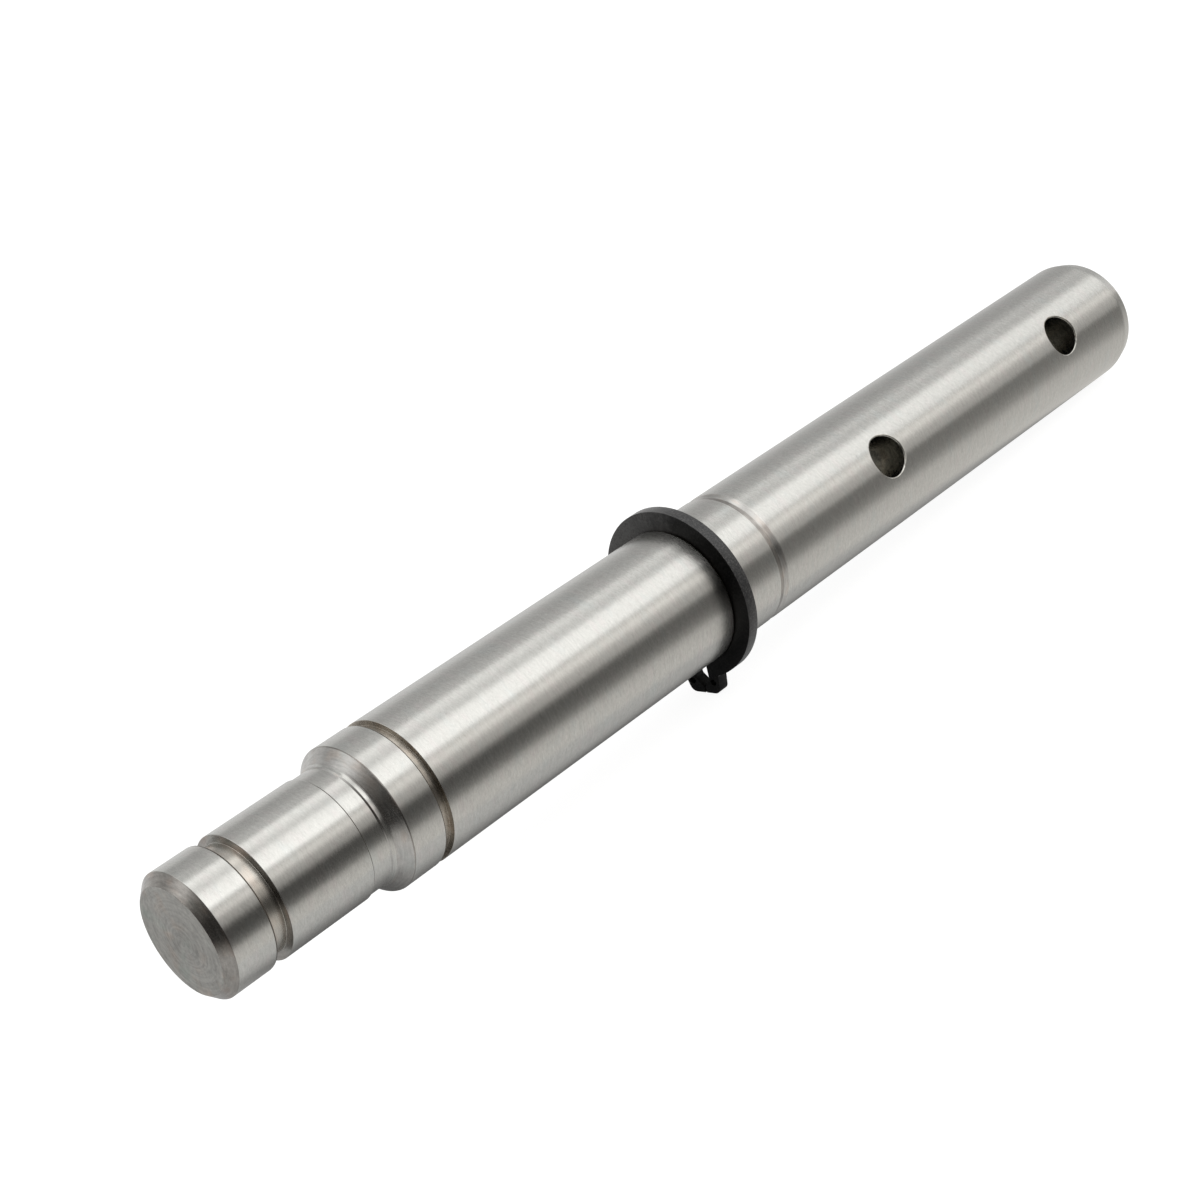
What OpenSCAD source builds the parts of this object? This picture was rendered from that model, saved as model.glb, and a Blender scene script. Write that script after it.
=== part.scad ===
// Bypass shaft: one ground steel shaft with a stepped front journal, four
// grooves and two cross holes, and a retaining ring in one of the grooves.
// Millimetres. The axis runs along X from the centre of the front end face,
// Z is up, and the lugs of the ring point straight down.

/* [Shaft] */

// Diameter of the long ground body
body_d = 20; // [19.6:0.1:24]

// Length from end face to end face
shaft_l = 192; // [184:1:240]

// Diameter of the front journal
journal_d = 16.85; // [16:0.05:18]

// Width of the 45 degree chamfer at the front end
front_chamfer = 1.25; // [0.5:0.05:2]

// Axial length of the lead-in cone at the rear end
rear_lead_l = 2.25; // [1:0.05:4]

// Angle of that lead-in cone from the axis
rear_lead_deg = 15; // [5:1:30]

/* [Shoulder] */

// Where the 45 degree shoulder cone reaches the body diameter
shoulder_x = 26.9; // [25.8:0.1:29]

// Width of the plain land between the foot of the cone and the run-out relief
relief_land = 0.525; // [0.3:0.025:0.7]

// Width of the shallow run-out relief at the journal's surface
relief_w = 3.05; // [1.5:0.05:4]

// Depth of that relief
relief_depth = 0.18; // [0.05:0.01:0.4]

// Radius in the corner at the foot of the shoulder cone
shoulder_fillet = 0.3; // [0.1:0.05:0.6]

/* [Front groove] */

// Front wall of the deep groove on the journal
front_groove_x = 6.85; // [3:0.05:12]

// Width of the deep groove between its walls
front_groove_w = 2.35; // [1.2:0.05:4]

// Depth of the deep groove
front_groove_depth = 1.1; // [0.5:0.05:2.5]

// Broken edge on both rims of the deep groove
front_groove_break = 0.15; // [0.05:0.01:0.4]

/* [Body grooves] */

// Front wall of the open groove near the shoulder
body_groove_x = 32.05; // [30:0.05:60]

// Width of the open groove near the shoulder
body_groove_w = 1.35; // [0.8:0.05:3]

// Depth of the open groove near the shoulder
body_groove_depth = 0.75; // [0.3:0.05:2]

// Front wall of the shallow groove behind the ring
rear_groove_x = 97.2; // [92:0.05:116]

// Width of the shallow groove behind the ring, at the surface
rear_groove_w = 1.75; // [1.4:0.05:3.5]

// Depth of the shallow groove behind the ring
rear_groove_depth = 0.25; // [0.1:0.05:0.6]

// Length of the gentle slope at the rear side of the shallow groove
rear_groove_run = 0.8; // [0.3:0.05:1.2]

/* [Cross holes] */

// Diameter of the two cross holes
hole_d = 6.4; // [3:0.1:8]

// Distance from the rear end face to the rear cross hole
rear_hole_inset = 18.5; // [10:0.1:30]

// Distance between the two cross holes
hole_pitch = 47.4; // [20:0.1:60]

// Turn of both cross holes about the axis, from straight up
hole_turn = 66.5; // [0:0.5:180]

/* [Retaining ring] */

// Where the front face of the ring lies along the shaft
ring_x = 86.9; // [64:0.1:90]

// Thickness of the ring
ring_t = 1.75; // [1:0.05:2.5]

// Diameter of the ring's outer edge
ring_od = 25.2; // [24:0.1:30]

// Shift of the outer edge away from the lugs, which tapers the ring
ring_shift = 0.2; // [0:0.05:0.6]

// Diameter of the groove floor under the ring
ring_groove_d = 19; // [17.6:0.1:19.4]

// Play between the ring and its groove on every side
ring_play = 0.05; // [0.02:0.01:0.1]

/* [Lugs] */

// Distance from the axis to the tips of the lugs
lug_reach = 14.9; // [13.8:0.1:17]

// Width across both lugs where they leave the ring
lug_w_root = 6.3; // [6:0.1:9]

// Width across both lugs at their tips
lug_w_tip = 5.2; // [5.2:0.1:8]

// Corner radius at the tips of the lugs
lug_round = 0.7; // [0.3:0.05:1]

// Gap between the lugs at the groove floor
gap_root = 3.2; // [2.6:0.1:3.6]

// Gap between the lugs where their toes start
gap_heel = 2.6; // [1.6:0.1:2.6]

// Gap between the toes at the tips of the lugs
gap_tip = 0.2; // [0.1:0.1:0.6]

// Length of the slope from the inner side of a lug to its toe
toe_slope_l = 1.3; // [1.1:0.1:1.6]

// Length of the straight toe at the tip of a lug
toe_l = 0.9; // [0.7:0.1:1.2]

// Diameter of the plier hole in each lug
plier_hole_d = 1; // [0.6:0.05:1.1]

// Distance from the tips of the lugs up to the centres of the plier holes
plier_hole_up = 1.75; // [1.4:0.05:2]

// Distance from the outer flank of a lug to the centre of its plier hole
plier_hole_inset = 1.05; // [0.9:0.05:1.1]

/* [Hidden] */

$fn = 128;
eps = 0.01;

body_r = body_d / 2;
journal_r = journal_d / 2;
relief_r = journal_r - relief_depth;
groove_r = ring_groove_d / 2;
rear_lead_drop = rear_lead_l * tan(rear_lead_deg);

// Foot of the shoulder cone, and the tangent run of its fillet
cone_foot_x = shoulder_x - (body_r - journal_r);
relief_x = cone_foot_x - relief_land - relief_w;
fillet_run = shoulder_fillet * tan(22.5);

// Slope of the outer flanks of the lugs, in width on one side per millimetre
flank_slope = (lug_w_root - lug_w_tip) / 2 / (lug_reach - ring_od / 2 + ring_shift);
flank_cos = 1 / sqrt(1 + flank_slope * flank_slope);
// Centre of the corner round at a lug's tip, from the middle of the gap
round_y = lug_w_tip / 2 + flank_slope * lug_round - lug_round / flank_cos;
// Distance from the axis to where the toes start
heel_reach = lug_reach - toe_l - toe_slope_l;
// Half width of the lugs at a distance from the axis, and of the gap above the toes
function lug_half(r) = lug_w_tip / 2 + flank_slope * (lug_reach - r);
function gap_half(r) =
    gap_heel / 2 + (gap_root - gap_heel) / 2 * (heel_reach - r) / (heel_reach - groove_r);
plier_hole_y = lug_half(lug_reach - plier_hole_up) - plier_hole_inset;

// Half outline of the turned shaft: radius first, then place along the axis
module shaft_outline() {
    polygon([
        [0, 0],
        [journal_r - front_chamfer, 0],
        [journal_r, front_chamfer],
        [journal_r, front_groove_x - front_groove_break],
        [journal_r - front_groove_break, front_groove_x],
        [journal_r - front_groove_depth, front_groove_x],
        [journal_r - front_groove_depth, front_groove_x + front_groove_w],
        [journal_r - front_groove_break, front_groove_x + front_groove_w],
        [journal_r, front_groove_x + front_groove_w + front_groove_break],
        [journal_r, relief_x],
        [relief_r, relief_x + relief_depth],
        [relief_r, relief_x + relief_w - relief_depth],
        [journal_r, relief_x + relief_w],
        [journal_r, cone_foot_x],
        [body_r, shoulder_x],
        [body_r, body_groove_x],
        [body_r - body_groove_depth, body_groove_x],
        [body_r - body_groove_depth, body_groove_x + body_groove_w],
        [body_r, body_groove_x + body_groove_w],
        [body_r, ring_x - ring_play],
        [groove_r, ring_x - ring_play],
        [groove_r, ring_x + ring_t + ring_play],
        [body_r, ring_x + ring_t + ring_play],
        [body_r, rear_groove_x],
        [body_r - rear_groove_depth, rear_groove_x],
        [body_r - rear_groove_depth, rear_groove_x + rear_groove_w - rear_groove_run],
        [body_r, rear_groove_x + rear_groove_w],
        [body_r, shaft_l - rear_lead_l],
        [body_r - rear_lead_drop, shaft_l],
        [0, shaft_l]
    ]);
    shoulder_fillet_outline();
}

// The corner between land and cone, filled in up to a tangent circle
module shoulder_fillet_outline() {
    difference() {
        polygon([
            [journal_r - eps, cone_foot_x - fillet_run],
            [journal_r, cone_foot_x - fillet_run],
            [journal_r + fillet_run * sin(45), cone_foot_x + fillet_run * cos(45)],
            [journal_r - eps, cone_foot_x + fillet_run * cos(45)]
        ]);
        translate([journal_r + shoulder_fillet, cone_foot_x - fillet_run])
            circle(r = shoulder_fillet);
    }
}

// One hole straight through the shaft, on the shared turn about the axis
module cross_hole(x) {
    translate([x, 0, 0])
        rotate([hole_turn, 0, 0])
            cylinder(d = hole_d, h = body_d + 2, center = true);
}

module shaft() {
    color([0.71, 0.71, 0.70])
        difference() {
            rotate([0, 90, 0])
                rotate_extrude()
                    shaft_outline();
            cross_hole(shaft_l - rear_hole_inset);
            cross_hole(shaft_l - rear_hole_inset - hole_pitch);
        }
}

// Both lugs as one block, before the gap parts them; y runs across, z is down
module lug_block() {
    flank = lug_round * flank_slope * flank_cos;
    for (side = [-1, 1])
        translate([side * round_y, -lug_reach + lug_round])
            circle(r = lug_round);
    polygon([
        [-lug_half(groove_r + 1), -groove_r - 1],
        [-round_y - lug_round * flank_cos, -lug_reach + lug_round - flank],
        [-round_y, -lug_reach],
        [round_y, -lug_reach],
        [round_y + lug_round * flank_cos, -lug_reach + lug_round - flank],
        [lug_half(groove_r + 1), -groove_r - 1]
    ]);
}

// The gap between the lugs: nearly straight sides, then the toes almost close it
module lug_gap() {
    toe_reach = lug_reach - toe_l;
    polygon([
        [-gap_half(0), 0],
        [-gap_heel / 2, -heel_reach],
        [-gap_tip / 2, -toe_reach],
        [-gap_tip / 2, -lug_reach - 1],
        [gap_tip / 2, -lug_reach - 1],
        [gap_tip / 2, -toe_reach],
        [gap_heel / 2, -heel_reach],
        [gap_half(0), 0]
    ]);
}

// Flat outline of the ring, seen along the shaft
module ring_outline() {
    difference() {
        union() {
            translate([0, ring_shift])
                circle(d = ring_od);
            lug_block();
        }
        circle(r = groove_r + ring_play);
        lug_gap();
        for (side = [-1, 1])
            translate([side * plier_hole_y, -lug_reach + plier_hole_up])
                circle(d = plier_hole_d);
    }
}

module retaining_ring() {
    color([0.05, 0.05, 0.055])
        translate([ring_x, 0, 0])
            rotate([90, 0, 90])
                linear_extrude(height = ring_t)
                    ring_outline();
}

shaft();
retaining_ring();
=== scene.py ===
"""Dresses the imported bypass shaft: a ground steel shaft and its black retaining ring.

Each piece is a class that holds its sizes in millimetres and builds its mesh in the
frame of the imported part: the axis along X from the front end face, Z up, and the
ring's lugs straight down. Meshes are written in metres.
"""

import logging
import math
from dataclasses import dataclass, field
from enum import Enum

import bmesh
import bpy
from mathutils import Matrix, Vector


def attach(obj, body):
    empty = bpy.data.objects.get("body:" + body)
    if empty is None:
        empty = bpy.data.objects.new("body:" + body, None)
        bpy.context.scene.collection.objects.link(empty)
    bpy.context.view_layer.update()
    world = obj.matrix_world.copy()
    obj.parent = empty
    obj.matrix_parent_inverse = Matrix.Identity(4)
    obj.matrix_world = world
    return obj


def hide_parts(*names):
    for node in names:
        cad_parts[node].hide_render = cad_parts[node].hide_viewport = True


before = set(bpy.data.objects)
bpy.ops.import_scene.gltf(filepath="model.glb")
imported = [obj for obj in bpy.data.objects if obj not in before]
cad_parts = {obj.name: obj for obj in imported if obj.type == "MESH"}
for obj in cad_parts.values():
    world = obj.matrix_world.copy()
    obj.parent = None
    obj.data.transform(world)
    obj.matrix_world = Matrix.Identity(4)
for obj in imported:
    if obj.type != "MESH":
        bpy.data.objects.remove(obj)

MM = 0.001
HOLE_TURN = 66.5  # degrees from straight up, about the axis, for both cross holes
LOG = logging.getLogger("bypass_shaft")

Triple = tuple[float, float, float]
Colour = Triple
Point = tuple[float, float]
Socket = bpy.types.NodeSocket


class Slot(Enum):
    """The record's material slots."""

    GROUND_STEEL = "ground_steel"
    SPRING_STEEL = "black_spring_steel"


class Cut(Enum):
    """How a stretch of the shaft was finished, or where shade is painted on it; the value is its
    material index.
    """

    GROUND = 0
    TURNED = 1
    FACED = 2
    DRILLED = 3
    FLOOR = 4
    COARSE = 5
    DULL = 6
    # A dark band of painted shade at the lips of the grooves and at the relief's step
    EDGE = 7


class RingFace(Enum):
    """Which face of the retaining ring it is; the value is its material index."""

    FLAT = 0
    RIM = 1
    EDGE = 2


class Bench:
    """Lays nodes in one shader tree and joins them."""

    def __init__(self, tree: bpy.types.NodeTree) -> None:
        """Empties the node tree of a material or a world."""
        self.tree = tree
        tree.nodes.clear()

    def node(self, kind: str, sockets: dict | None = None, **settings) -> bpy.types.Node:
        """Adds one node.

        Args:
            kind: The node's type name.
            sockets: Input name or number against a value, or an output to join to it.
            **settings: The node's own properties.

        Returns:
            The new node.
        """
        made = self.tree.nodes.new(kind)
        for name, value in settings.items():
            setattr(made, name, value)
        for name, value in (sockets or {}).items():
            if isinstance(value, Socket):
                self.tree.links.new(value, made.inputs[name])
            else:
                made.inputs[name].default_value = value
        return made

    def maths(self, operation: str, *values: object, clamp: bool = False) -> Socket:
        """Adds a Math node.

        Args:
            operation: The node's operation.
            *values: Numbers or outputs, in the order of its inputs.
            clamp: Whether the result is held between 0 and 1.

        Returns:
            The node's output.
        """
        made = self.node("ShaderNodeMath", dict(enumerate(values)), operation=operation)
        made.use_clamp = clamp
        return made.outputs[0]

    def vector(self, operation: str, *values: object) -> Socket:
        """Adds a Vector Math node.

        Args:
            operation: The node's operation.
            *values: Vectors or outputs, in the order of its inputs.

        Returns:
            The node's output, a vector, or a number for a length or a dot product.
        """
        made = self.node("ShaderNodeVectorMath", dict(enumerate(values)), operation=operation)
        return made.outputs["Value" if operation in ("LENGTH", "DOT_PRODUCT") else "Vector"]

    def scaled(self, value: Socket, size: float) -> Socket:
        """Multiplies a vector or a colour by one number."""
        made = self.vector("SCALE", value)
        made.node.inputs["Scale"].default_value = size
        return made

    def place(self) -> Socket:
        """Gives the shaded point on object coordinates, in millimetres."""
        return self.scaled(self.node("ShaderNodeTexCoord").outputs["Object"], 1 / MM)

    def split(self, value: Socket) -> bpy.types.NodeOutputs:
        """Parts a vector into its X, Y and Z."""
        return self.node("ShaderNodeSeparateXYZ", {0: value}).outputs

    def grey(self, level: Socket) -> Socket:
        """Makes a colour of one number."""
        return self.node("ShaderNodeCombineXYZ", {0: level, 1: level, 2: level}).outputs[0]

    def bump(self, height: Socket) -> Socket:
        """Gives the normal of a surface that is raised by a height in metres."""
        made = self.node("ShaderNodeBump", {"Height": height, "Strength": 1.0, "Distance": 1.0})
        return made.outputs[0]

    def finish(self, shader: bpy.types.Node, kind: str = "ShaderNodeOutputMaterial") -> None:
        """Joins the last shader to the tree's output."""
        self.node(kind, {"Surface": shader.outputs[0]})

    def noise(self, place: Socket, stretch: Triple, detail: float = 2.0,
              rough: float = 0.5) -> Socket:
        """Adds a noise that is stretched differently along each axis.

        Args:
            place: The position that the noise reads, in millimetres.
            stretch: How many blobs it has to a millimetre along X, Y and Z.
            detail: Its octaves.
            rough: The weight of its finer octaves.

        Returns:
            The noise's value, from 0 to 1.
        """
        scaled = self.vector("MULTIPLY", place, stretch)
        made = self.node("ShaderNodeTexNoise", {"Vector": scaled, "Scale": 1.0,
                                                "Detail": detail, "Roughness": rough})
        return made.outputs["Fac"]

    def spread(self, value: Socket, low: float, high: float,
               to_low: float = 0.0, to_high: float = 1.0) -> Socket:
        """Maps one range of a value onto another, held at its ends.

        Args:
            value: The output to map.
            low: Where the range starts.
            high: Where it ends.
            to_low: What the start becomes.
            to_high: What the end becomes.

        Returns:
            The mapped output.
        """
        made = self.node("ShaderNodeMapRange", {"Value": value, "From Min": low, "From Max": high,
                                                "To Min": to_low, "To Max": to_high})
        return made.outputs["Result"]

    def blend(self, share: object, first: object, second: object, mode: str = "MIX") -> Socket:
        """Mixes two colours.

        Args:
            share: The weight of the second colour.
            first: A colour or an output.
            second: A colour or an output.
            mode: The blend type.

        Returns:
            The mixed colour.
        """
        made = self.node("ShaderNodeMix", data_type="RGBA", blend_type=mode)
        for name, value in (("Factor_Float", share), ("A_Color", first), ("B_Color", second)):
            socket = next(s for s in made.inputs if s.identifier == name)
            if isinstance(value, Socket):
                self.tree.links.new(value, socket)
            else:
                socket.default_value = (*value, 1.0) if isinstance(value, tuple) else value
        return next(s for s in made.outputs if s.identifier == "Result_Color")

    def gradient(self, share: Socket, stops: list[tuple[float, Colour]]) -> Socket:
        """Lays a gradient of colours.

        Args:
            share: Where on the gradient a point is, from 0 to 1.
            stops: The place and the colour of each stop.

        Returns:
            The gradient's colour.
        """
        made = self.node("ShaderNodeValToRGB", {"Fac": share})
        slots = made.color_ramp.elements
        while len(slots) < len(stops):
            slots.new(0.5)
        # All places come before any colour, because moving a stop can sort the list anew
        for slot, (place, _) in zip(slots, stops):
            slot.position = place
        for slot, (_, colour) in zip(slots, stops):
            slot.color = (*colour, 1)
        return made.outputs["Color"]


def new_material(name: str) -> tuple[bpy.types.Material, Bench]:
    """Makes a material and the bench for its tree."""
    made = bpy.data.materials.new(name)
    made.use_nodes = True
    return made, Bench(made.node_tree)


def off_axis(spot: Vector) -> float:
    """Gives a point's distance from the shaft's axis."""
    return math.hypot(spot.y, spot.z)


@dataclass(frozen=True)
class SteelFinish:
    """Bare steel whose tool marks run round the axis of the shaft.

    Attributes:
        name: The material's name.
        colour: Its main colour.
        warm: The colour of its warmer clouds.
        cool: The colour of its cooler clouds.
        roughness: Its roughness, between the two directions.
        spread: How much more the gloss is blurred across the marks than along them.
        grain: The strength in colour of the fine grain and of its longer streaks.
        grain_depth: The depth of the fine grain, in millimetres.
        core: How much darker the surface is towards the axis.
        marks: The strength in colour of the turning rings.
        mark_depth: The depth of the rings, in millimetres.
        marks_per_mm: How many rings there are to a millimetre.
        bored: Whether the rings run round the cross holes and not round the shaft.
        wave_depth: The depth of the slow waves in the surface, in millimetres.
    """

    name: str
    colour: Colour
    warm: Colour
    cool: Colour
    roughness: float
    spread: float
    grain: float
    grain_depth: float = 0.0006
    core: float = 0.0
    marks: float = 0.0
    mark_depth: float = 0.0
    marks_per_mm: float = 3.0
    bored: bool = False
    wave_depth: float = 0.011

    def rings(self, desk: Bench, place: Socket, reach: Socket) -> Socket:
        """Lays the turning rings, which follow the profile and wander a little round it.

        Args:
            desk: The material's bench.
            place: The shaded point, in millimetres.
            reach: Its distance from the axis.

        Returns:
            The rings, from 0 to 1.
        """
        if self.bored:
            tilt = math.radians(HOLE_TURN)
            depth = desk.vector("DOT_PRODUCT", place, (0.0, -math.sin(tilt), math.cos(tilt)))
            profile = desk.node("ShaderNodeCombineXYZ", {"X": depth})
        else:
            along = desk.split(place)["X"]
            profile = desk.node("ShaderNodeCombineXYZ", {"X": along, "Y": reach})
        rings = desk.scaled(profile.outputs[0], self.marks_per_mm)
        wander = desk.vector("MULTIPLY", place, (0.5,) * 3)
        return desk.noise(desk.vector("ADD", rings, wander), (1.0, 1.0, 1.0), 3.0, 0.6)

    def material(self) -> bpy.types.Material:
        """Builds the material.

        Returns:
            The material, on object coordinates.
        """
        made, desk = new_material(self.name)
        place = desk.place()
        reach = desk.vector("LENGTH", desk.vector("MULTIPLY", place, (0, 1, 1)))
        fine = desk.noise(place, (4.4, 1.7, 1.7), 3.0, 0.65)
        streak = desk.noise(place, (1.9, 0.42, 0.42), 3.0, 0.62)
        rings = self.rings(desk, place, reach)
        cloud = desk.noise(place, (0.5, 0.28, 0.28), 2.0, 0.55)
        tint = desk.noise(desk.vector("ADD", place, (31.0, 7.0, 3.0)), (0.9, 0.35, 0.35), 1.0)

        base = desk.blend(desk.spread(tint, 0.52, 0.72), self.colour, self.warm)
        base = desk.blend(desk.spread(cloud, 0.55, 0.75), base, self.cool)
        shade = 1.0
        for pattern, weight in ((fine, self.grain * 2), (streak, self.grain),
                                (rings, self.marks * 2)):
            shade = desk.maths("MULTIPLY_ADD", desk.maths("SUBTRACT", pattern, 0.5), weight, shade)
        shade = desk.maths("MULTIPLY", shade, desk.spread(reach, 0.5, 5.0, 1 - self.core))
        base = desk.blend(1.0, base, desk.grey(shade), "MULTIPLY")

        rough = desk.spread(fine, 0.3, 0.7, self.roughness * 0.9, self.roughness * 1.1)
        height = desk.maths("MULTIPLY", fine, self.grain_depth * MM)
        height = desk.maths("MULTIPLY_ADD", rings, self.mark_depth * MM, height)
        height = desk.maths("MULTIPLY_ADD", cloud, self.wave_depth * MM, height)

        # The gloss is blurred most across the marks, which run round the axis
        round_axis = desk.vector("CROSS_PRODUCT", (1.0, 0.0, 0.0), place)
        normal = desk.node("ShaderNodeNewGeometry").outputs["Normal"]
        across = desk.vector("NORMALIZE", desk.vector("CROSS_PRODUCT", round_axis, normal))
        shader = desk.node("ShaderNodeBsdfPrincipled", {
            "Base Color": base, "Metallic": 1.0, "Roughness": rough,
            "Anisotropic": self.spread, "Tangent": across, "Normal": desk.bump(height)})
        desk.finish(shader)
        return made


@dataclass(frozen=True)
class BlackOxideFinish:
    """Spring steel, blackened and oiled: nearly black, with a satin sheen.

    Attributes:
        name: The material's name.
        colour: Its main colour.
        painted_lit_side: The colour of the painted light on one side of the ring.
        worn: The colour of its specks and scratches.
        roughness: Its roughness, before the clouds.
        sheen: The strength of its gloss.
        pitting: The depth of its fine pits, in millimetres.
    """

    name: str
    colour: Colour
    painted_lit_side: Colour
    worn: Colour
    roughness: float = 0.34
    sheen: float = 0.17
    pitting: float = 0.016

    def material(self) -> bpy.types.Material:
        """Builds the material.

        Returns:
            The material, on object coordinates.
        """
        made, desk = new_material(self.name)
        place = desk.place()
        parts = desk.split(place)
        speck = desk.noise(place, (4.0, 4.0, 4.0), 4.0, 0.7)
        cloud = desk.noise(place, (0.8, 0.5, 0.5), 2.0)
        mottle = desk.noise(place, (1.6, 1.6, 1.6), 4.0, 0.7)
        # Painted light: the colour turns lighter towards one side and upwards, along a border that
        # both noises break up
        side = desk.maths("MULTIPLY_ADD", cloud, 8.0, parts["Y"])
        side = desk.maths("MULTIPLY_ADD", parts["Z"], 0.4, side)
        side = desk.maths("MULTIPLY_ADD", desk.maths("SUBTRACT", mottle, 0.5), 10.0, side)
        base = desk.blend(desk.spread(side, 4.5, 13.0), self.colour, self.painted_lit_side)
        base = desk.blend(desk.spread(speck, 0.48, 0.72, 0.0, 0.9), base, self.worn)
        rough = desk.spread(cloud, 0.3, 0.7, self.roughness - 0.06, self.roughness + 0.08)
        height = desk.maths("MULTIPLY", speck, self.pitting * MM)
        shader = desk.node("ShaderNodeBsdfPrincipled", {
            "Base Color": base, "Metallic": 0.0, "Roughness": rough,
            "Normal": desk.bump(height), "Specular IOR Level": self.sheen})
        desk.finish(shader)
        return made


# The middle colour of each finish is painted light on the ring's lit side
OXIDE = {
    RingFace.FLAT: BlackOxideFinish("black_oxide", (0.001, 0.001, 0.0012),
                                    (0.105, 0.1035, 0.101), (0.022, 0.021, 0.020)),
    RingFace.RIM: BlackOxideFinish("oxide_rim", (0.030, 0.030, 0.0305), (0.110, 0.1085, 0.106),
                                   (0.140, 0.137, 0.133), sheen=0.4),
    # The broken edge is lighter for its wear and for a painted highlight along it
    RingFace.EDGE: BlackOxideFinish("oxide_edge_wear_and_highlight", (0.055, 0.055, 0.054), (0.150, 0.148, 0.145),
                                    (0.190, 0.187, 0.182), roughness=0.3, sheen=0.5),
}
STEEL = {
    Cut.GROUND: SteelFinish("ground_steel", (0.52, 0.515, 0.487), (0.528, 0.51, 0.487),
                            (0.508, 0.515, 0.492), roughness=0.235, spread=0.92, grain=0.21),
    Cut.TURNED: SteelFinish("turned_steel", (0.46, 0.45, 0.43), (0.47, 0.435, 0.40),
                            (0.43, 0.435, 0.415), roughness=0.24, spread=0.5, grain=0.2,
                            marks=0.25, mark_depth=0.003, marks_per_mm=3.5),
    Cut.FACED: SteelFinish("faced_steel", (0.325, 0.318, 0.298), (0.36, 0.325, 0.29),
                           (0.29, 0.305, 0.28), roughness=0.45, spread=0.4, grain=0.45, core=0.12,
                           marks=0.5, mark_depth=0.006, marks_per_mm=2.4),
    Cut.DRILLED: SteelFinish("drilled_steel", (0.52, 0.51, 0.475), (0.47, 0.435, 0.385),
                             (0.43, 0.43, 0.39), roughness=0.2, spread=0.3, grain=0.5,
                             marks=0.9, mark_depth=0.02, marks_per_mm=1.1, bored=True),
    Cut.FLOOR: SteelFinish("groove_floor_steel", (0.48, 0.455, 0.41), (0.51, 0.455, 0.40),
                           (0.44, 0.435, 0.40), roughness=0.26, spread=0.7, grain=0.18,
                           marks=0.12, mark_depth=0.002, marks_per_mm=6.0),
    Cut.COARSE: SteelFinish("coarse_steel", (0.30, 0.285, 0.265), (0.32, 0.28, 0.25),
                            (0.275, 0.275, 0.255), roughness=0.22, spread=0.5, grain=0.3,
                            marks=0.4, mark_depth=0.003, marks_per_mm=3.0),
    Cut.DULL: SteelFinish("dull_steel", (0.43, 0.395, 0.345), (0.45, 0.385, 0.315),
                          (0.36, 0.35, 0.315), roughness=0.28, spread=0.9, grain=0.45),
    # Painted shade: a dark band where the lips meet the groove walls
    Cut.EDGE: SteelFinish("painted_shade_lip_steel", (0.12, 0.105, 0.09), (0.13, 0.105, 0.085),
                          (0.12, 0.115, 0.1), roughness=0.4, spread=0.3, grain=0.5),
}


def mirror(made: bmesh.types.BMesh, axis: str, near: float) -> None:
    """Adds a shape's mirror image, joins points that are near, and turns all faces outwards."""
    whole = [*made.verts, *made.edges, *made.faces]
    bmesh.ops.mirror(made, geom=whole, matrix=Matrix(), merge_dist=near, axis=axis)
    bmesh.ops.remove_doubles(made, verts=made.verts, dist=near)
    bmesh.ops.recalc_face_normals(made, faces=made.faces)


def placed_object(name: str, made: bmesh.types.BMesh, matrix: Matrix) -> bpy.types.Object:
    """Puts a shape in the scene as an unturned object at the origin, and frees it.

    Args:
        name: The object's name.
        made: The shape, in millimetres.
        matrix: The move that puts the shape in place, in millimetres.

    Returns:
        The object, with its mesh in metres.
    """
    bmesh.ops.transform(made, matrix=Matrix.Scale(MM, 4) @ matrix, verts=made.verts)
    mesh = bpy.data.meshes.new(name)
    made.to_mesh(mesh)
    made.free()
    placed = bpy.data.objects.new(name, mesh)
    bpy.context.collection.objects.link(placed)
    return placed


@dataclass
class Station:
    """One corner of the turned outline.

    Attributes:
        x: Its place along the axis.
        r: Its distance from the axis.
        ease: How far its edge is broken, or 0.
        cut: The finish of the stretch that ends here.
    """

    x: float
    r: float
    ease: float = 0.0
    cut: Cut = Cut.GROUND


@dataclass
class CrossHole:
    """One hole through the shaft, square to its axis.

    Attributes:
        x: Its place along the shaft.
        diameter: Its diameter.
        ease: The width of the broken edge round its mouth.
        rows: The rows of faces across that edge.
        steps: The sides of the round.
    """

    x: float
    diameter: float = 6.4
    ease: float = 0.28
    rows: int = 5
    steps: int = 128

    def cutter(self, body_r: float) -> bpy.types.Object:
        """Makes the tool that cuts the hole, flared along its mouths.

        Args:
            body_r: The radius of the shaft round the hole.

        Returns:
            The cutter, as an object that isn't kept.
        """
        radius = self.diameter / 2
        # How far each row is out from the hole's wall, and above the shaft's surface
        rows = []
        for k in range(self.rows + 1):
            swing = math.pi / 2 * k / self.rows
            rows.append((self.ease * (1 - math.cos(swing)), self.ease * (math.sin(swing) - 1)))
        clear = 2.0  # how far the cutter's ends stand off the shaft
        rows.append((self.ease * 1.001, clear))
        made = bmesh.new()
        bmesh.ops.create_circle(made, segments=self.steps, radius=radius)
        rim = list(made.edges)
        for grow, above in rows:
            grown = bmesh.ops.extrude_edge_only(made, edges=rim)["geom"]
            rim = [e for e in grown if isinstance(e, bmesh.types.BMEdge)]
            for vert in {v for e in rim for v in e.verts}:
                ray = Vector((vert.co.x, vert.co.y)).normalized()
                reach = radius + grow
                vert.co.xy = ray * reach
                side = ray.y * reach
                vert.co.z = math.sqrt(body_r ** 2 - side ** 2) + above
        bmesh.ops.holes_fill(made, edges=rim, sides=0)
        mirror(made, "Z", 1e-6)
        turn = Matrix.Rotation(math.radians(HOLE_TURN), 4, "X")
        return placed_object("hole_cutter", made, Matrix.Translation((self.x, 0, 0)) @ turn)


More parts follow.
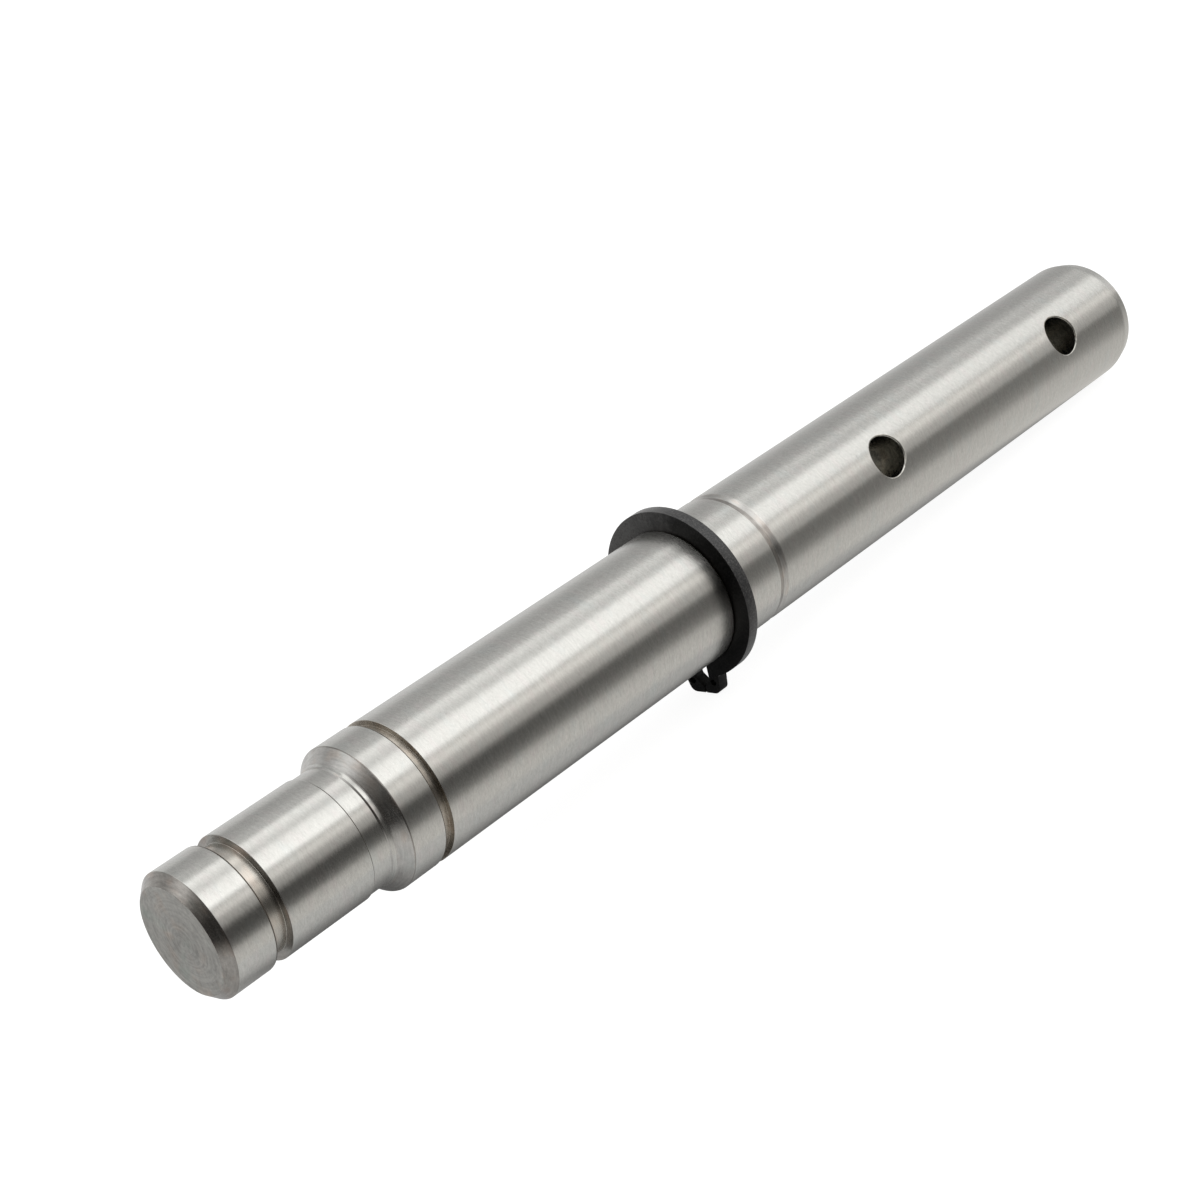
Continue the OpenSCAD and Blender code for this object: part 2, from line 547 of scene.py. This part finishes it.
@dataclass
class TurnedShaft:
    """The shaft: turned, ground on its seats, faced at its ends and cross drilled.

    Names that end in _x are places along the axis, in _w widths along it, and in _r
    distances from it.

    Attributes:
        length: From end face to end face.
        body_r: The radius of the long seat.
        journal_r: The radius of the front journal.
        front_chamfer: The width of the 45 degree chamfer at the front end.
        relief_drop: The depth of the run-out relief on the journal.
        shallow_groove_run: The length of the shallow groove's gentle rear slope.
        rear_lead: The length of the lead-in cone at the rear end.
        deep_lip: The width of the dark band of painted shade in front of the deep groove.
        open_lip: The width of that band at the open groove.
        ring_lip: The width of that band at the ring's groove.
        holes: The cross holes.
        steps: The sides of a full turn.
    """

    length: float = 192.0
    body_r: float = 10.0
    journal_r: float = 8.425
    front_chamfer: float = 1.25
    deep_groove_x: float = 6.85
    deep_groove_w: float = 2.35
    deep_groove_r: float = 7.325
    relief_x: float = 21.75
    relief_end_x: float = 24.63
    relief_drop: float = 0.18
    shoulder_x: float = 26.9
    open_groove_x: float = 32.05
    open_groove_w: float = 1.35
    open_groove_r: float = 9.25
    ring_groove_x: float = 86.85
    ring_groove_w: float = 1.85
    ring_groove_r: float = 9.5
    shallow_groove_x: float = 97.2
    shallow_groove_w: float = 1.75
    shallow_groove_r: float = 9.75
    shallow_groove_run: float = 0.8
    rear_lead: float = 2.25
    rear_end_r: float = 9.397
    deep_lip: float = 0.2
    open_lip: float = 0.14
    ring_lip: float = 0.18
    holes: list[CrossHole] = field(default_factory=lambda: [CrossHole(126.1), CrossHole(173.5)])
    steps: int = 256

    def stations(self) -> list[Station]:
        """Lists the corners of the half outline from the front centre to the rear centre."""
        turned, faced, floor, dull, edge = Cut.TURNED, Cut.FACED, Cut.FLOOR, Cut.DULL, Cut.EDGE
        journal, body, relief = self.journal_r, self.body_r, self.journal_r - self.relief_drop
        deep_end = self.deep_groove_x + self.deep_groove_w
        foot = self.shoulder_x - (body - journal)
        open_end = self.open_groove_x + self.open_groove_w
        ring_end = self.ring_groove_x + self.ring_groove_w
        shallow_end = self.shallow_groove_x + self.shallow_groove_w
        # The stretches that end in edge are narrow bands of painted shade
        return [
            Station(0, 0),
            Station(0, journal - self.front_chamfer, 0.05, faced),
            Station(self.front_chamfer, journal, 0.07, Cut.COARSE),
            Station(self.deep_groove_x - self.deep_lip, journal),
            Station(self.deep_groove_x, journal - 0.05, 0.02, edge),
            Station(self.deep_groove_x, self.deep_groove_r, 0.1, turned),
            Station(deep_end, self.deep_groove_r, 0.08, floor),
            Station(deep_end, journal, 0.1, Cut.COARSE),
            Station(self.relief_x, journal, 0.02),
            Station(self.relief_x + self.relief_drop, relief, 0.05, edge),
            Station(self.relief_end_x, relief, 0.05),
            Station(self.relief_end_x + self.relief_drop, journal, 0.05, turned),
            Station(foot, journal, 0.3),
            Station(self.shoulder_x - 0.06, body - 0.06, 0.03, turned),
            Station(self.shoulder_x + 0.1, body, 0.03, Cut.COARSE),
            Station(self.open_groove_x - self.open_lip, body),
            Station(self.open_groove_x, body - 0.03, 0.02, edge),
            Station(self.open_groove_x, self.open_groove_r, 0.1, turned),
            Station(open_end, self.open_groove_r, 0.05, dull),
            Station(open_end, body, 0.06, dull),
            Station(self.ring_groove_x - self.ring_lip, body),
            Station(self.ring_groove_x, body - 0.03, 0.02, edge),
            Station(self.ring_groove_x, self.ring_groove_r, 0.1, turned),
            Station(ring_end, self.ring_groove_r, 0.1, turned),
            Station(ring_end, body, 0.05, turned),
            Station(self.shallow_groove_x, body, 0.02),
            Station(self.shallow_groove_x + 0.05, self.shallow_groove_r, 0.05, edge),
            Station(shallow_end - self.shallow_groove_run, self.shallow_groove_r, 0.2, Cut.COARSE),
            Station(shallow_end, body, 0.2, turned),
            Station(self.length - self.rear_lead, body, 0.35),
            Station(self.length, self.rear_end_r, 0.2),
            Station(self.length, 0, 0.0, faced),
        ]

    def turned_mesh(self) -> bmesh.types.BMesh:
        """Turns the outline about the axis and breaks its edges.

        Returns:
            The mesh in millimetres, each face with the index of its finish.
        """
        made = bmesh.new()
        stations = self.stations()
        corners = [made.verts.new((s.x, 0, s.r)) for s in stations]
        for first, second in zip(corners, corners[1:]):
            made.edges.new((first, second))
        geometry = list(made.verts) + list(made.edges)
        bmesh.ops.spin(made, geom=geometry, cent=(0, 0, 0), axis=(1, 0, 0), angle=math.tau,
                       steps=self.steps, use_merge=True)
        bmesh.ops.remove_doubles(made, verts=made.verts, dist=1e-5)
        bmesh.ops.recalc_face_normals(made, faces=made.faces)
        self.name_cuts(made, stations)
        for ease in sorted({s.ease for s in stations if s.ease}):
            self.break_edges(made, [s for s in stations if s.ease == ease], ease)
        return made

    @staticmethod
    def name_cuts(made: bmesh.types.BMesh, stations: list[Station]) -> None:
        """Gives each face the finish of the stretch of outline that it was spun from.

        Args:
            made: The spun mesh.
            stations: The outline that it was spun from.
        """
        near = 0.004  # less than the shortest stretch, and more than the sums' rounding
        for face in made.faces:
            marks = [(v.co.x, off_axis(v.co)) for v in face.verts]
            for ends in zip(stations, stations[1:]):
                if all(any(abs(x - s.x) < near and abs(r - s.r) < near for s in ends)
                       for x, r in marks):
                    face.material_index = ends[1].cut.value
                    break

    @staticmethod
    def break_edges(made: bmesh.types.BMesh, stations: list[Station], ease: float) -> None:
        """Rounds the rims at some corners of the outline.

        Args:
            made: The spun mesh.
            stations: The corners.
            ease: How far each edge is broken.
        """
        rims = []
        for edge in made.edges:
            first, second = (v.co for v in edge.verts)
            reach = off_axis(first)
            if abs(first.x - second.x) > 1e-5 or abs(reach - off_axis(second)) > 1e-3:
                continue
            if any(abs(first.x - s.x) < 1e-4 and abs(reach - s.r) < 1e-3 for s in stations):
                rims.append(edge)
        bmesh.ops.bevel(made, geom=rims, offset=ease, offset_type="OFFSET", segments=4,
                        profile=0.5, affect="EDGES", clamp_overlap=False, material=-1)

    def drill(self, piece: bpy.types.Object) -> None:
        """Cuts the cross holes into the piece and keeps the result as its mesh.

        Args:
            piece: The shaft, not yet drilled.
        """
        for hole in self.holes:
            tool = hole.cutter(self.body_r)
            tool.data.materials.append(piece.data.materials[Cut.DRILLED.value])
            cut = piece.modifiers.new("cross_hole", "BOOLEAN")
            cut.operation, cut.solver, cut.object = "DIFFERENCE", "EXACT", tool
            cut.material_mode = "TRANSFER"
            graph = bpy.context.evaluated_depsgraph_get()
            drilled = bpy.data.meshes.new_from_object(piece.evaluated_get(graph))
            piece.modifiers.clear()
            old = piece.data
            piece.data = drilled
            bpy.data.meshes.remove(old)
            bpy.data.objects.remove(tool)
        piece.data.name = piece.name

    @staticmethod
    def true_normals(mesh: bpy.types.Mesh) -> None:
        """Gives the turned faces the exact normals of the surface that they stand for.

        Args:
            mesh: The drilled mesh, in metres.
        """
        for face in mesh.polygons:
            face.use_smooth = True
        mesh.set_sharp_from_angle(angle=math.radians(32))
        normals = [Vector(n.vector) for n in mesh.corner_normals]
        sliver = 2e-8  # square metres; a smaller face off the seats keeps its smooth normals
        for face in mesh.polygons:
            flat = face.normal
            seat = face.material_index == Cut.GROUND.value and abs(flat.x) < 1e-4
            if face.material_index == Cut.DRILLED.value or face.area < sliver and not seat:
                continue
            for loop in face.loop_indices:
                spot = mesh.vertices[mesh.loops[loop].vertex_index].co
                ray = Vector((0, spot.y, spot.z))
                if ray.length < 1e-6:
                    normals[loop] = flat.copy()
                    continue
                ray.normalize()
                lean = math.sqrt(max(0.0, 1 - flat.x ** 2))
                lean = math.copysign(lean, ray.dot(flat) or 1)
                normals[loop] = Vector((flat.x, 0, 0)) + ray * lean
        mesh.normals_split_custom_set([tuple(n) for n in normals])

    def build(self) -> bpy.types.Object:
        """Builds and dresses the shaft.

        Returns:
            The finished piece.
        """
        piece = placed_object("turned_shaft", self.turned_mesh(), Matrix())
        for cut in Cut:
            piece.data.materials.append(STEEL[cut].material())
        self.drill(piece)
        self.true_normals(piece.data)
        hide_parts("shaft")
        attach(piece, "root")
        return piece


@dataclass
class SpringRing:
    """The retaining ring: a stamped ring that tapers towards two lugs with plier holes.

    Attributes:
        x: Where its front face lies.
        thick: Its thickness.
        outer_r: The radius of its outer edge.
        lift: How far the outer edge sits off centre, away from the lugs.
        bore_r: The radius of its bore.
        groove_r: The radius of the groove's floor under it.
        lug_reach: The distance from the axis to the tips of the lugs.
        lug_root: The width across both lugs where they leave the ring.
        lug_tip: The width across both lugs at their tips.
        lug_round: The corner radius at the tips.
        root_round: The radius of the corner where a lug leaves the ring.
        gap_root: The gap between the lugs at the groove's floor.
        gap_heel: The gap where the toes start.
        gap_tip: The gap between the toes.
        toe_slope: The length of the slope from a lug's inner side to its toe.
        toe: The length of the straight toe at a lug's tip.
        plier_hole_r: The radius of the plier hole in each lug.
        plier_hole_up: How far the holes sit above the tips.
        plier_hole_inset: How far they sit in from a lug's outer flank.
        edge_break: The width of the broken edge all round.
    """

    x: float = 86.9
    thick: float = 1.75
    outer_r: float = 12.6
    lift: float = 0.2
    bore_r: float = 9.55
    groove_r: float = 9.5
    lug_reach: float = 14.9
    lug_root: float = 6.3
    lug_tip: float = 5.2
    lug_round: float = 1.05
    root_round: float = 0.45
    gap_root: float = 3.2
    gap_heel: float = 2.6
    gap_tip: float = 0.2
    toe_slope: float = 1.3
    toe: float = 0.9
    plier_hole_r: float = 0.5
    plier_hole_up: float = 1.75
    plier_hole_inset: float = 1.05
    edge_break: float = 0.12

    def lug_half(self, reach: float) -> float:
        """Gives half the width across the lugs at a distance from the axis."""
        slope = (self.lug_root - self.lug_tip) / 2 / (self.lug_reach - self.outer_r + self.lift)
        return self.lug_tip / 2 + slope * (self.lug_reach - reach)

    @staticmethod
    def arc(centre: Point, radius: float, start: float, end: float, steps: int) -> list[Point]:
        """Lists points along an arc in the ring's plane.

        Args:
            centre: Its centre, across and up.
            radius: Its radius.
            start: Its first angle in radians, from straight down.
            end: Its last angle.
            steps: How many stretches it has.

        Returns:
            The points, across and up.
        """
        across, up = centre
        angles = [start + (end - start) * k / steps for k in range(steps + 1)]
        return [(across + radius * math.sin(a), up - radius * math.cos(a)) for a in angles]

    @staticmethod
    def rounded(corners: list[Triple], steps: int = 6) -> list[Point]:
        """Rounds the inner corners of an open outline.

        Args:
            corners: Across, up and the radius of the round at each corner.
            steps: The stretches of a round.

        Returns:
            The points of the rounded outline, without its first and last corner.
        """
        points = []
        for before, here, after in zip(corners, corners[1:], corners[2:]):
            spot, radius = Vector(here[:2]), here[2]
            back = (Vector(before[:2]) - spot).normalized()
            on = (Vector(after[:2]) - spot).normalized()
            half = back.angle(on) / 2
            middle = spot + (back + on).normalized() * radius / math.sin(half)
            first = spot + back * radius / math.tan(half) - middle
            last = spot + on * radius / math.tan(half) - middle
            start = math.atan2(first.y, first.x)
            turn = math.atan2(first.x * last.y - first.y * last.x, first.dot(last))
            for k in range(steps + 1):
                angle = start + turn * k / steps
                points.append((middle.x + radius * math.cos(angle),
                               middle.y + radius * math.sin(angle)))
        return points

    def half_outline(self) -> list[Point]:
        """Lists one half's outline, from the bore opposite the lugs to the outer edge there."""
        reach, heel = self.lug_reach, self.lug_reach - self.toe - self.toe_slope
        grow = (self.gap_root - self.gap_heel) / 2 / (heel - self.groove_r)
        root = self.gap_heel / 2 + grow * (heel - self.bore_r)
        # Where the lug's flank meets the outer edge, found from a rough guess
        across = 3.0
        for _ in range(20):
            across = self.lug_half(math.sqrt(self.outer_r ** 2 - across ** 2) - self.lift)
        meet = math.asin(across / self.outer_r)
        # Both arcs stop a little short, to leave room for the rounds at their ends
        inner = self.arc((0, 0), self.bore_r, math.pi, math.asin(root / self.bore_r) + 0.03, 96)
        outer = self.arc((0, self.lift), self.outer_r, meet + 0.07, math.pi, 110)
        # Each corner's place, and the radius of its round
        corners = [
            (*inner[-1], 0.0),
            (root, -math.sqrt(self.bore_r ** 2 - root ** 2), 0.2),
            (self.gap_heel / 2, -heel, 0.3),
            (self.gap_tip / 2, -(reach - self.toe), 0.25),
            (self.gap_tip / 2, -reach, 0.08),
            (self.lug_half(reach), -reach, self.lug_round),
            (across, self.lift - math.sqrt(self.outer_r ** 2 - across ** 2), self.root_round),
            (*outer[0], 0.0),
        ]
        return inner + self.rounded(corners) + outer

    def plier_hole(self) -> list[Point]:
        """Lists the corners of the plier hole in the lug, once round."""
        side = self.lug_half(self.lug_reach - self.plier_hole_up) - self.plier_hole_inset
        centre = (side, self.plier_hole_up - self.lug_reach)
        return self.arc(centre, self.plier_hole_r, 0.0, math.tau, 40)[:-1]

    def stamped(self) -> bmesh.types.BMesh:
        """Stamps half the ring, mirrors it and breaks its edges.

        Returns:
            The shape, in millimetres.
        """
        made = bmesh.new()
        for loop in (self.half_outline(), self.plier_hole()):
            corners = [made.verts.new((self.x, y, z)) for y, z in loop]
            for first, second in zip(corners, corners[1:] + corners[:1]):
                made.edges.new((first, second))
        bmesh.ops.triangle_fill(made, use_beauty=True, edges=list(made.edges))
        solid = bmesh.ops.extrude_face_region(made, geom=list(made.faces))["geom"]
        moved = [v for v in solid if isinstance(v, bmesh.types.BMVert)]
        bmesh.ops.translate(made, verts=moved, vec=(self.thick, 0, 0))
        seam = [f for f in made.faces if all(abs(v.co.y) < 1e-6 for v in f.verts)]
        bmesh.ops.delete(made, geom=seam, context="FACES_ONLY")
        mirror(made, "Y", 1e-5)
        square = 1.2  # radians; only an edge near a right angle is a rim
        rims = [e for e in made.edges if len(e.link_faces) == 2 and e.calc_face_angle(0) > square
                and abs(e.verts[0].co.x - e.verts[1].co.x) < 1e-6]
        bmesh.ops.bevel(made, geom=rims, offset=self.edge_break, offset_type="OFFSET", segments=3,
                        profile=0.5, affect="EDGES", clamp_overlap=True, material=-1)
        return made

    def kind(self, face: bpy.types.MeshPolygon) -> RingFace:
        """Tells the outer rim and its broken edges from the rest."""
        reach = math.hypot(face.center.y, face.center.z - self.lift * MM) / MM
        lean = abs(face.normal.x)
        if abs(reach - self.outer_r) > 0.2 or lean > 0.97:
            return RingFace.FLAT
        return RingFace.RIM if lean < 0.2 else RingFace.EDGE

    def build(self) -> bpy.types.Object:
        """Builds and dresses the ring.

        Returns:
            The finished piece.
        """
        piece = placed_object("spring_ring", self.stamped(), Matrix())
        mesh = piece.data
        for face_kind in RingFace:
            mesh.materials.append(OXIDE[face_kind].material())
        for face in mesh.polygons:
            face.use_smooth = True
            face.material_index = self.kind(face).value
        mesh.set_sharp_from_angle(angle=math.radians(35))
        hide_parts("retaining_ring")
        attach(piece, "root")
        return piece


@dataclass
class Studio:
    """The plain light, the pale floor, a card of painted reflection and the camera.

    Attributes:
        lens: The camera's focal length in millimetres.
        camera_at: Where the camera stands.
        camera_ahead: The way that it looks.
        camera_up: The top of its picture.
        floor_lean: The floor's slope along the shaft, in degrees.
        floor_at: A point of the floor, under the lugs.
        brightest: The strength of light that full white stands for in the world's bands.
    """

    lens: float = 62.586
    camera_at: Triple = (-92.778, -198.404, 101.182)
    camera_ahead: Triple = (0.60314, 0.7194, -0.3445)
    camera_up: Triple = (0.44528, 0.05466, 0.89372)
    floor_lean: float = 2.775
    floor_at: Triple = (88.65, 0.0, -14.9)
    brightest: float = 2.5

    def camera(self) -> None:
        """Sets the camera at the picture's angle."""
        data = bpy.data.cameras.new("camera")
        data.lens, data.sensor_width = self.lens, 36.0
        data.clip_start, data.clip_end = 0.01, 50.0
        eye = bpy.data.objects.new("camera", data)
        bpy.context.collection.objects.link(eye)
        ahead = Vector(self.camera_ahead).normalized()
        right = ahead.cross(Vector(self.camera_up)).normalized()
        up = right.cross(ahead)
        eye.matrix_world = Matrix.Translation(Vector(self.camera_at) * MM) @ Matrix(
            (right, up, -ahead)).transposed().to_4x4()
        bpy.context.scene.camera = eye

    def sheet(self, name: str, low: Point, high: Point, lift: float = 0.0,
              turn: float = 0.0) -> bpy.types.Object:
        """Lays a flat sheet on the floor.

        Args:
            name: Its name.
            low: Its lowest X and Y, in millimetres.
            high: Its highest X and Y.
            lift: How far it lies above the floor.
            turn: Its turn on the floor, in degrees.

        Returns:
            The sheet, as part of the stage.
        """
        made = bmesh.new()
        bmesh.ops.create_grid(made, x_segments=1, y_segments=1, size=0.5)
        size = Matrix.Diagonal((high[0] - low[0], high[1] - low[1], 1, 1))
        move = Matrix.Translation(((high[0] + low[0]) / 2, (high[1] + low[1]) / 2, lift))
        lean = Matrix.Rotation(math.radians(-self.floor_lean), 4, "Y")
        lean = lean @ Matrix.Rotation(math.radians(turn), 4, "Z")
        laid = placed_object(name, made, Matrix.Translation(self.floor_at) @ lean @ move @ size)
        return laid

    @staticmethod
    def fade(desk: Bench, share: Socket, stops: list[Point]) -> Socket:
        """Lays a gradient of slightly warm greys, from the place and level of each stop."""
        red, blue = 1.02, 0.97
        return desk.gradient(share, [(spot, (level * red, level, level * blue))
                                     for spot, level in stops])

    def floor_painted_shadow(self, desk: Bench) -> Socket:
        """Paints a shadow into the floor as reflections see it, darkest along the shaft.

        Args:
            desk: The floor's bench.

        Returns:
            The grey that it sends to glossy rays.
        """
        parts = desk.split(desk.place())
        front = self.fade(desk, desk.spread(parts["Y"], -12.0, 36.0), [
            (0.0, 0.58), (0.07, 0.52), (0.13, 0.36), (0.19, 0.22), (0.25, 0.14), (0.38, 0.02),
            (0.52, 0.07), (0.67, 0.38), (0.85, 0.56), (1.0, 0.60)])
        rear = self.fade(desk, desk.spread(parts["Y"], -12.0, 60.0), [
            (0.0, 0.54), (0.07, 0.50), (0.125, 0.26), (0.167, 0.10), (0.25, 0.04), (0.5, 0.05),
            (0.7, 0.20), (0.89, 0.50), (1.0, 0.58)])
        shade = desk.blend(desk.spread(parts["X"], 35.0, 60.0), front, rear)
        # Before the front end the painted shadow ends and the floor is pale again
        before = desk.spread(parts["X"], -4.0, 20.0, 0.5, 0.0)
        return desk.blend(1.0, shade, desk.grey(before), "LIGHTEN")

    def floor(self) -> None:
        """Lays the pale floor, which takes the object's shadow, shows the camera white and shows
        reflections a painted shadow.
        """
        pale, desk = new_material("pale_floor")
        matt = desk.node("ShaderNodeBsdfDiffuse", {"Color": (0.25, 0.25, 0.25, 1)})
        path = desk.node("ShaderNodeLightPath").outputs
        sent_on = desk.maths("ADD", path["Is Glossy Ray"], path["Is Transmission Ray"], clamp=True)
        # Reflections see a glow with a painted shadow along the shaft
        level = desk.maths("MULTIPLY", sent_on, self.floor_painted_shadow(desk))
        to_camera = 0.91
        level = desk.maths("MULTIPLY_ADD", path["Is Camera Ray"], to_camera, level)
        glow = desk.node("ShaderNodeEmission", {"Strength": level})
        both = desk.node("ShaderNodeAddShader", {0: matt.outputs[0], 1: glow.outputs[0]})
        desk.finish(both)
        reach = 8000
        self.sheet("floor", (-reach, -reach), (reach, reach)).data.materials.append(pale)

    def painted_reflection_card(self) -> None:
        """Lays a dark card of painted reflection beside the shaft, which only reflections see."""
        dark, desk = new_material("painted_reflection_card")
        parts = desk.split(desk.place())
        # The card's inner edge runs at a small angle to the shaft, and so do its painted greys
        past = desk.maths("SUBTRACT", parts["X"], 19.5)
        away = desk.maths("MULTIPLY_ADD", past, -0.084, parts["Y"])
        share = desk.spread(away, -120.0, -18.0)
        front = self.fade(desk, share, [
            (0.0, 0.10), (0.392, 0.12), (0.549, 0.15), (0.657, 0.19), (0.725, 0.26), (0.76, 0.34),
            (0.789, 0.45), (0.833, 0.60), (0.882, 0.70), (0.941, 0.78), (1.0, 0.83)])
        rear = self.fade(desk, share, [
            (0.0, 0.31), (0.49, 0.30), (0.657, 0.35), (0.725, 0.38), (0.775, 0.42), (0.807, 0.50),
            (0.838, 0.65), (0.873, 0.74), (0.941, 0.79), (1.0, 0.82)])
        along = desk.maths("MULTIPLY_ADD", parts["Y"], 0.7, parts["X"])
        level = desk.blend(desk.spread(along, 0.0, 149.0), front, rear)
        dim = desk.spread(parts["X"], -65.0, 8.0, 0.28, 1.0)
        glow = desk.node("ShaderNodeEmission", {"Color": level, "Strength": dim})
        desk.finish(glow)
        card = self.sheet("painted_reflection_card", (-4000, -7600), (7600, -12.2), lift=0.2, turn=4.8)
        card.data.materials.append(dark)
        card.visible_camera = card.visible_diffuse = card.visible_shadow = False

    def ramp(self, desk: Bench, share: Socket, stops: list[Triple]) -> Socket:
        """Lays bands of light that run along the shaft.

        Args:
            desk: The world's bench.
            share: The direction's turn about the axis from straight up, from 0 to 1 for
                -180 to 180 degrees.
            stops: For each, the turn in degrees, the strength and the warmth.

        Returns:
            The colour of the light.
        """
        bands = []
        for turn, strength, warmth in stops:
            level = strength / self.brightest
            colour = (level * (1 + warmth), level, level * (1 - warmth))
            bands.append(((turn + 180) / 360, colour))
        return desk.scaled(desk.gradient(share, bands), self.brightest)

    def world(self) -> None:
        """Lights the stage with soft bands that run along the shaft, like strip lights."""
        world = bpy.data.worlds.new("studio")
        world.use_nodes = True
        bpy.context.scene.world = world
        desk = Bench(world.node_tree)
        parts = desk.split(desk.node("ShaderNodeTexCoord").outputs["Generated"])
        turn = desk.maths("ARCTAN2", desk.maths("MULTIPLY", parts["Y"], -1.0), parts["Z"])
        share = desk.maths("MULTIPLY_ADD", turn, 1 / math.tau, 0.5)
        near = self.ramp(desk, share, [
            (-180, 1.10, 0), (-92, 1.48, 0), (-88, 0.95, 0), (-80, 0.77, 0), (-66, 0.79, 0),
            (-60, 0.53, 0), (-55, 0.50, 0), (-40, 0.59, 0), (-34, 0.65, 0), (-28, 0.80, 0),
            (-17, 0.85, 0), (-14, 0.98, 0), (-10, 1.68, 0), (-5, 1.80, 0), (1, 1.68, 0),
            (7, 1.40, 0), (12, 1.26, 0), (16, 1.33, 0), (21, 1.52, 0), (28, 1.69, 0),
            (34, 1.83, 0), (43, 2.12, 0), (46, 1.65, 0), (51, 0.80, 0.01), (61, 0.96, 0.02),
            (65, 0.72, 0.02), (68, 0.49, 0.02), (73, 0.45, 0.02), (77, 0.34, 0.02),
            (82, 0.16, 0.02), (86, 0.10, 0.02), (95, 0.07, 0.02)])
        middle = self.ramp(desk, share, [
            (-180, 1.10, 0), (-92, 1.40, 0), (-86, 0.92, 0), (-72, 0.82, 0), (-60, 0.66, 0),
            (-54, 0.59, 0), (-42, 0.565, 0), (-30, 0.66, 0), (-20, 0.80, 0), (-16, 0.95, 0),
            (-12, 1.27, 0), (-8, 1.30, 0), (-2, 1.13, 0), (4, 1.05, 0), (9, 1.05, 0),
            (13, 1.33, 0), (17, 1.92, 0), (21, 2.10, 0), (28, 2.08, 0), (36, 1.97, 0),
            (42, 1.77, 0), (47, 1.11, 0.01), (50, 1.24, 0.03), (56, 1.74, 0.03), (60, 1.63, 0.03),
            (66, 1.18, 0.03), (72, 0.90, 0.03), (81, 0.81, 0.03), (85, 0.38, 0.04),
            (91, 0.24, 0.04), (98, 0.18, 0.04), (180, 0.15, 0.02)])
        far = self.ramp(desk, share, [
            (-180, 1.10, 0), (-92, 1.42, 0), (-88, 0.90, 0), (-80, 0.66, 0), (-68, 0.64, 0),
            (-60, 0.565, 0), (-52, 0.515, 0), (-40, 0.49, 0), (-28, 0.60, 0), (-16, 0.64, 0),
            (-4, 0.66, 0), (2, 0.78, 0), (7, 1.00, 0), (12, 1.25, 0), (16, 1.29, 0),
            (20, 1.20, 0), (28, 1.11, 0), (36, 1.00, 0), (40, 0.90, 0), (44, 0.93, 0.01),
            (49, 1.09, 0.02), (54, 1.11, 0.02), (60, 0.90, 0.02), (66, 0.71, 0.02),
            (72, 0.65, 0.02), (80, 0.60, 0.02), (86, 0.45, 0.01), (92, 0.36, 0.01),
            (100, 0.31, 0.01), (180, 0.33, 0.01)])
        front = self.ramp(desk, share, [
            (-180, 1.0, 0), (-91, 1.0, 0), (-83, 0.85, 0), (-72, 0.80, 0), (-62, 0.60, 0),
            (-52, 0.66, 0), (-42, 0.93, 0), (-30, 1.42, 0), (-20, 1.25, 0), (-12, 0.93, 0),
            (-3, 0.42, 0.02), (8, 0.28, 0.05), (18, 0.19, 0.05), (40, 0.13, 0.05),
            (62, 0.05, 0.05), (180, 0.05, 0.02)])
        # The bands change with how far forward or back along the shaft the light comes from
        side = desk.blend(desk.spread(parts["X"], 0.405, 0.57), near, middle)
        side = desk.blend(desk.spread(parts["X"], 0.57, 0.79), side, far)
        light = desk.blend(desk.spread(parts["X"], -0.45, 0.0), front, side)
        path = desk.node("ShaderNodeLightPath").outputs
        lit = desk.node("ShaderNodeBackground", {"Color": light})
        plain = desk.node("ShaderNodeBackground", {"Color": (1, 1, 1, 1)})
        both = desk.node("ShaderNodeMixShader", {0: path["Is Camera Ray"], 1: lit.outputs[0],
                                                 2: plain.outputs[0]})
        desk.finish(both, "ShaderNodeOutputWorld")

    def build(self) -> None:
        """Sets up the whole stage."""
        self.camera()
        self.floor()
        self.painted_reflection_card()
        self.world()
        bpy.context.scene.view_settings.view_transform = "Standard"


def main() -> None:
    """Builds every piece in order, then the stage."""
    logging.basicConfig(level=logging.INFO, format="%(name)s: %(message)s")
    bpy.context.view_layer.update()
    for maker in (TurnedShaft(), SpringRing()):
        piece = maker.build()
        LOG.info("%s: %d faces", piece.name, len(piece.data.polygons))
    Studio().build()


if __name__ == "__main__":
    main()
